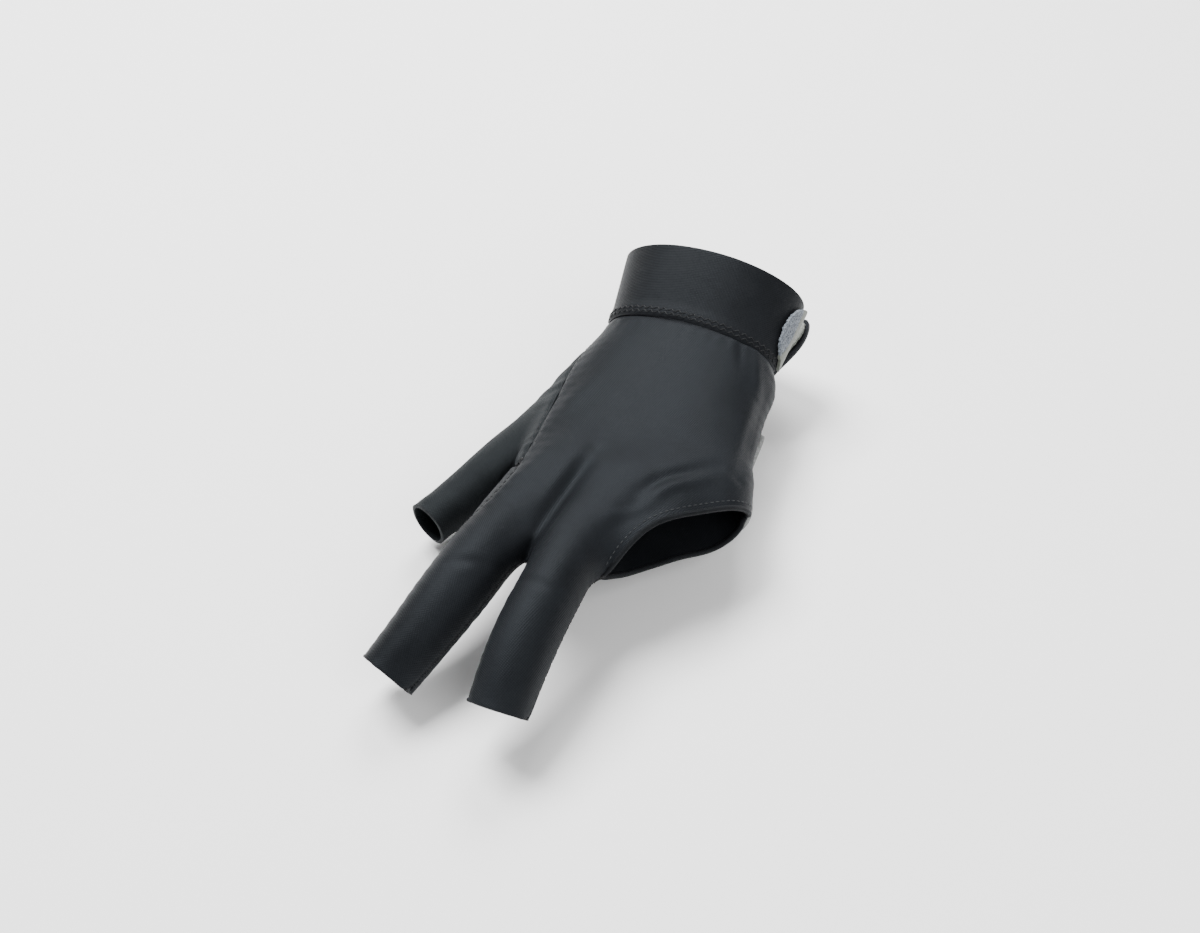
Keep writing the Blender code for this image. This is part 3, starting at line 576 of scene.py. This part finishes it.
def add_roll(name, lines, width, finish, slot, closed=False):
    """Round rolls of cloth or tape along lines of places, as one finished piece."""
    curve = bpy.data.curves.new(name, "CURVE")
    curve.dimensions = "3D"
    curve.bevel_depth = width / 2
    curve.bevel_resolution = 2
    curve.use_fill_caps = True
    for line in lines:
        spline = curve.splines.new("POLY")
        spline.points.add(len(line) - 1)
        for point, place in zip(spline.points, line):
            point.co = (*place, 1)
        spline.use_cyclic_u = closed
    cord = bpy.data.objects.new(name, curve)
    bpy.context.scene.collection.objects.link(cord)
    mesh = bpy.data.meshes.new_from_object(cord.evaluated_get(bpy.context.evaluated_depsgraph_get()))
    bpy.data.objects.remove(cord)
    piece = bpy.data.objects.new(name, mesh)
    bpy.context.scene.collection.objects.link(piece)
    close_up(piece, 0, 0, finish, slot)
    return piece


dark_thread = thread_finish("dark thread", (0.002, 0.002, 0.0025), (0.010, 0.011, 0.0125), 0.5)
grey_thread = thread_finish("grey thread", (0.008, 0.009, 0.010), (0.034, 0.037, 0.040), 0.55)
# The seam roll is the same black knit painted darker, as painted shade where the roll lies sunk in the
# seam's gap.
roll_knit_painted_shade = knit_finish("roll knit with painted shade", (0.0016, 0.0017, 0.0020), (0.0044, 0.0048, 0.0054))

sewn_runs = edge_runs(back_panel, ("palm_panel", "thumb_stall", "cuff"))
sewn_runs += edge_runs(palm_panel, ("thumb_stall", "cuff"))
roll_lines = [run[::2, :3] - run[::2, 3:] * ROLL_DEPTH for run in sewn_runs]
seam_roll = add_roll("seam_roll", roll_lines, ROLL_WIDTH, roll_knit_painted_shade, "black_binding_tape")

thumb_side = max(edge_runs(back_panel, ("thumb_stall",)), key=len)
finger_sides = edge_runs(back_panel, ("palm_panel",))
bm = bmesh.new()
for side in (STITCH_SIDE, -STITCH_SIDE):
    add_stitches(bm, thumb_side, STITCH_PITCH, STITCH_LENGTH, THREAD, side, rise=STITCH_RISE)
thumb_thread = add_piece("thumb_seam_thread", bm, dark_thread, "black_binding_tape")
bm = bmesh.new()
for run in finger_sides:
    add_stitches(bm, run, OVERLOCK_PITCH, OVERLOCK_LENGTH, THREAD, lean=OVERLOCK_LEAN)
side_thread = add_piece("finger_seam_thread", bm, dark_thread, "black_binding_tape")
bm = bmesh.new()
for run in finger_sides:
    for spot in (run[0], run[-1]):
        made = bmesh.ops.create_icosphere(bm, subdivisions=2, radius=KNOT / 2,
                                          matrix=Matrix.Translation(Vector(spot[:3])))
        for vertex in made["verts"]:
            vertex.co += Vector(noise.noise_vector(vertex.co * KNOT_LUMPS)) * KNOT * 0.12
seam_knots = add_piece("seam_knots", bm, dark_thread, "black_binding_tape")

# The zigzag holds the doubled band to the panels. It is sewn in the band's own black thread, and shows as
# two close rows of leaning stitches on the band just above its seam.
ZIGZAG_PITCH = 0.0013
ZIGZAG_LENGTH = 0.0020
ZIGZAG_LEAN = math.radians(40)
ZIGZAG_RISE = 0.00008
ZIGZAG_ROWS = (0.0016, 0.0030)
ROUND_FROM, ROUND_TO, ROUND_STEP = -6, 312, 3
ROUND_REACH = 0.06


def round_the_cuff(height):
    """A run round the band's outside at a height, from its end on the back to the strap's end."""
    places, facings = spots_of(cuff.data)
    tree = BVHTree.FromPolygons([Vector(place) for place in places],
                                [face.vertices for face in cuff.data.polygons])
    level = Vector(cuff_axis * (height - CUFF_HEIGHT / 2))
    up = Vector((0, -math.sin(CUFF_TILT), math.cos(CUFF_TILT)))
    rows = []
    for turn in np.radians(np.arange(ROUND_FROM, ROUND_TO, ROUND_STEP)):
        way = math.cos(turn) * Vector((1, 0, 0)) + math.sin(turn) * up
        place, facing, _, _ = tree.ray_cast(level + way * ROUND_REACH, -way)
        if place is not None:
            rows.append([*place, *(facing if facing.dot(way) > 0 else -facing)])
    return np.array(rows)


bm = bmesh.new()
for height, lean in zip(ZIGZAG_ROWS, (ZIGZAG_LEAN, -ZIGZAG_LEAN)):
    add_stitches(bm, round_the_cuff(height), ZIGZAG_PITCH, ZIGZAG_LENGTH, THREAD, lean=lean,
                 rise=ZIGZAG_RISE)
cuff_thread = add_piece("cuff_thread", bm, dark_thread, "black_binding_tape")

# The closure is two patches. The one on the band's end has a crescent of fuzzy blue-grey pile and is
# smooth olive-grey beyond it, and the one inside the strap's end is olive-grey tape with fine hooks.
PATCH_WALL = 0.0010
PATCH_LEVELS = 4
PATCH_SOFT_EDGE = 0.0002
# The crescent's border, as a height that changes with the square and the length along the patch.
BORDER = 0.0016
BORDER_BLUR = 0.0002
BORDER_BOW = -26.0
BORDER_LEAN = -0.384
PILE_HEIGHT = 0.00032
PILE_SIZE = 0.00075
HOOK_PITCH = 0.0013
HOOK_HEIGHT = 0.00018


def patch_finish(name, dark, pale, size, rough, sheen, relief, beyond=None):
    """Short pile or tape: uneven specks of two tones with a raised grain, and smoother beyond a border."""
    finish = bpy.data.materials.new(name)
    finish.use_nodes = True
    tree = finish.node_tree
    shader = tree.nodes["Principled BSDF"]
    coords = add_node(tree, "ShaderNodeTexCoord")
    specks = add_node(tree, "ShaderNodeTexVoronoi", {
        "Vector": coords.outputs["Object"], "Scale": 1 / size, "Randomness": 1.0})
    fuzz = add_node(tree, "ShaderNodeTexNoise", {
        "Vector": coords.outputs["Object"], "Scale": 0.6 / size, "Detail": 5.0, "Roughness": 0.7})
    height = add_node(tree, "ShaderNodeMath", {
        0: specks.outputs["Distance"], 1: -0.7, 2: fuzz.outputs["Fac"]}, operation="MULTIPLY_ADD")
    ramp = add_node(tree, "ShaderNodeValToRGB", {"Fac": height.outputs[0]})
    ramp.color_ramp.elements[0].position = 0.0
    ramp.color_ramp.elements[0].color = (*dark, 1)
    ramp.color_ramp.elements[1].position = 0.6
    ramp.color_ramp.elements[1].color = (*pale, 1)
    bump = add_node(tree, "ShaderNodeBump", {
        "Strength": 0.7, "Distance": relief, "Height": height.outputs[0]})
    tree.links.new(ramp.outputs["Color"], shader.inputs["Base Color"])
    tree.links.new(bump.outputs["Normal"], shader.inputs["Normal"])
    if beyond:
        place = add_node(tree, "ShaderNodeSeparateXYZ", {"Vector": coords.outputs["Object"]})
        squared = add_node(tree, "ShaderNodeMath", {0: place.outputs["Y"], 1: place.outputs["Y"]},
                           operation="MULTIPLY")
        bowed = add_node(tree, "ShaderNodeMath", {
            0: squared.outputs[0], 1: BORDER_BOW, 2: place.outputs["Z"]}, operation="MULTIPLY_ADD")
        leaned = add_node(tree, "ShaderNodeMath", {
            0: place.outputs["Y"], 1: BORDER_LEAN, 2: bowed.outputs[0]}, operation="MULTIPLY_ADD")
        share = add_node(tree, "ShaderNodeMapRange", {
            "Value": leaned.outputs[0], "From Min": BORDER - BORDER_BLUR,
            "From Max": BORDER + BORDER_BLUR})
        smooth = add_node(tree, "ShaderNodeValToRGB", {"Fac": fuzz.outputs["Fac"]})
        smooth.color_ramp.elements[0].position = 0.3
        smooth.color_ramp.elements[0].color = (*beyond[0], 1)
        smooth.color_ramp.elements[1].position = 0.7
        smooth.color_ramp.elements[1].color = (*beyond[1], 1)
        both = add_node(tree, "ShaderNodeMix", {
            0: share.outputs[0], 6: smooth.outputs["Color"], 7: ramp.outputs["Color"]},
            data_type="RGBA")
        grain = add_node(tree, "ShaderNodeMath", {0: share.outputs[0], 1: 0.85, 2: 0.15},
                         operation="MULTIPLY_ADD")
        tree.links.new(grain.outputs[0], bump.inputs["Strength"])
        tree.links.new(both.outputs[2], shader.inputs["Base Color"])
    shader.inputs["Roughness"].default_value = rough
    shader.inputs["Sheen Weight"].default_value = sheen
    shader.inputs["Sheen Roughness"].default_value = 0.6
    return finish


loop_patch, _, _ = smooth_cloth("loop_pile", outer_cloth("loop_patch", PATCH_WALL), PATCH_LEVELS)
places, facings = spots_of(loop_patch.data)
past_border = BORDER - places[:, 2] - BORDER_LEAN * places[:, 1] - BORDER_BOW * places[:, 1] ** 2
pile_share = 1 / (1 + np.exp(past_border / BORDER_BLUR))
tufts = wander(places, PILE_SIZE, 12) + 0.6 * wander(places, PILE_SIZE * 3, 13)
lift(loop_patch, PILE_HEIGHT * (0.08 + 0.92 * pile_share) * tufts)
pile = patch_finish("blue-grey pile", (0.060, 0.072, 0.088), (0.230, 0.260, 0.300), size=0.00045,
                    rough=0.95, sheen=0.2, relief=0.00025,
                    beyond=((0.078, 0.086, 0.072), (0.112, 0.122, 0.102)))
close_up(loop_patch, PATCH_WALL, PATCH_SOFT_EDGE, pile, "blue_grey_loop_cloth", "loop_patch")

hook_patch, _, _ = smooth_cloth("hook_tape", outer_cloth("hook_patch", PATCH_WALL), PATCH_LEVELS)
places, facings = spots_of(hook_patch.data)
hooks = np.prod(np.sin(2 * math.pi * places[:, 1:] / HOOK_PITCH), axis=1)
lift(hook_patch, HOOK_HEIGHT * np.clip(hooks, 0, 1))
tape = patch_finish("olive-grey tape", (0.120, 0.130, 0.112), (0.215, 0.228, 0.200), size=0.00060,
                    rough=0.6, sheen=0.2, relief=0.00010)
close_up(hook_patch, PATCH_WALL, PATCH_SOFT_EDGE, tape, "olive_grey_hook_tape", "hook_patch")

# The heel pad is a thin slab of brushed grey cloth over foam. It is sewn on below the palm panel's outer
# edge, where the glove lies on the table, with the groove of its seam just inside its own edge.
PAD_WALL = 0.0014
PAD_CROWN = 0.00045
PAD_SLOPE = 0.003
PAD_SLACK = 0.00012
PAD_SLACK_SIZE = 0.006
PAD_SEAM_SIDE = 0.0022
PAD_SEAM_SINK = 0.0004
PAD_SEAM_ROLL = 0.0006

heel_pad, _, _ = smooth_cloth("heel_pad", outer_cloth("palm_pad", PAD_WALL), CLOTH_LEVELS)
places, facings = spots_of(heel_pad.data)
far, _ = from_runs(places, [np.hstack((places, facings))[line] for line in edge_lines(heel_pad.data)])
pad_heights = PAD_CROWN * (1 - np.exp(-far / PAD_SLOPE)) + PAD_SLACK * wander(places, PAD_SLACK_SIZE, 14)
pad_heights -= PAD_SEAM_SINK * np.exp(-((far - PAD_SEAM_SIDE) / PAD_SEAM_ROLL) ** 2)
lift(heel_pad, pad_heights)
brushed = patch_finish("brushed grey cloth", (0.120, 0.126, 0.122), (0.240, 0.250, 0.244), size=0.00080,
                       rough=0.85, sheen=0.5, relief=0.00012)
close_up(heel_pad, PAD_WALL, SOFT_EDGE, brushed, "grey_pad_cloth", "palm_pad")

# The large opening beside the middle stall is bound with a narrow folded tape. A row of short stitches
# in grey thread just behind it holds the tape on both panels.
HEM_ROLL = 0.0019
HEM_STITCH_SIDE = 0.0021
HEM_STITCH_PITCH = 0.0019
HEM_STITCH_LENGTH = 0.0013
HEM_STITCH_RISE = 0.00004

back_hem = max(edge_runs(back_panel, ("hem_binding",)), key=len)
palm_hem = max(edge_runs(palm_panel, ("hem_binding",)), key=len)
near_first, near_last = np.linalg.norm(palm_hem[[0, -1], :3] - back_hem[-1, :3], axis=1)
if near_first > near_last:
    palm_hem = palm_hem[::-1]
hem_line = [run[1:-1:2, :3] - run[1:-1:2, 3:] * CLOTH_WALL / 2 for run in (back_hem, palm_hem)]
hem_tape = knit_finish("binding tape", (0.0022, 0.0023, 0.0026), (0.0080, 0.0084, 0.0092), pitch=0.0004)
hem_binding = add_roll("hem_tape", [np.vstack(hem_line)], HEM_ROLL, hem_tape, "black_binding_tape",
                       closed=True)
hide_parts("hem_binding")

bm = bmesh.new()
for run, piece in ((back_hem, back_panel), (palm_hem, palm_panel)):
    add_stitches(bm, row_inside(run[4:-4], piece, HEM_STITCH_SIDE), HEM_STITCH_PITCH, HEM_STITCH_LENGTH,
                 THREAD, rise=HEM_STITCH_RISE)
hem_thread = add_piece("hem_thread", bm, grey_thread, "black_binding_tape")

# The studio is a plain pale floor under the glove, a pale sky and soft lamps, and the camera stands
# where the photograph was taken from.
FLOOR_DROP = 0.0325
FLOOR_REACH = 2.5
CAMERA_REACH = 0.5686
CAMERA_RISE = math.radians(46)
CAMERA_TURN = math.radians(21.65)
CAMERA_AIM = Vector((-0.0177, -0.0507, -0.0325))
LAMPS = (
    # name, place, size, watts
    ("key lamp", (-0.55, 0.15, 1.05), 0.6, 34.0),
    ("fill lamp", (0.75, -0.55, 0.75), 0.9, 12.0),
    ("back lamp", (-0.20, 0.75, 0.85), 0.5, 15.0),
)

bm = bmesh.new()
bmesh.ops.create_grid(bm, x_segments=2, y_segments=2, size=FLOOR_REACH,
                      matrix=Matrix.Translation((0, 0, -FLOOR_DROP)))
floor_mesh = bpy.data.meshes.new("floor")
bm.to_mesh(floor_mesh)
bm.free()
floor = bpy.data.objects.new("floor", floor_mesh)
bpy.context.scene.collection.objects.link(floor)
floor_paint = bpy.data.materials.new("pale floor")
floor_paint.use_nodes = True
floor_shader = floor_paint.node_tree.nodes["Principled BSDF"]
floor_shader.inputs["Base Color"].default_value = (0.93, 0.93, 0.93, 1)
floor_shader.inputs["Roughness"].default_value = 0.9
floor_mesh.materials.append(floor_paint)

for name, place, size, watts in LAMPS:
    light = bpy.data.lights.new(name, "AREA")
    light.size = size
    light.energy = watts
    lamp = bpy.data.objects.new(name, light)
    lamp.location = place
    lamp.rotation_euler = (CAMERA_AIM - Vector(place)).to_track_quat("-Z", "Y").to_euler()
    bpy.context.scene.collection.objects.link(lamp)

sky = bpy.data.worlds.new("pale sky")
sky.use_nodes = True
sky.node_tree.nodes["Background"].inputs["Color"].default_value = (1.0, 1.0, 1.0, 1)
sky.node_tree.nodes["Background"].inputs["Strength"].default_value = 0.34
bpy.context.scene.world = sky

lens = bpy.data.cameras.new("camera")
lens.sensor_width = 36
lens.lens = 50
camera = bpy.data.objects.new("camera", lens)
back_off = Vector((math.sin(CAMERA_TURN) * math.cos(CAMERA_RISE),
                   -math.cos(CAMERA_TURN) * math.cos(CAMERA_RISE), math.sin(CAMERA_RISE)))
camera.location = CAMERA_AIM + back_off * CAMERA_REACH
camera.rotation_euler = (-back_off).to_track_quat("-Z", "Y").to_euler()
bpy.context.scene.collection.objects.link(camera)
bpy.context.scene.camera = camera

bpy.context.view_layer.update()
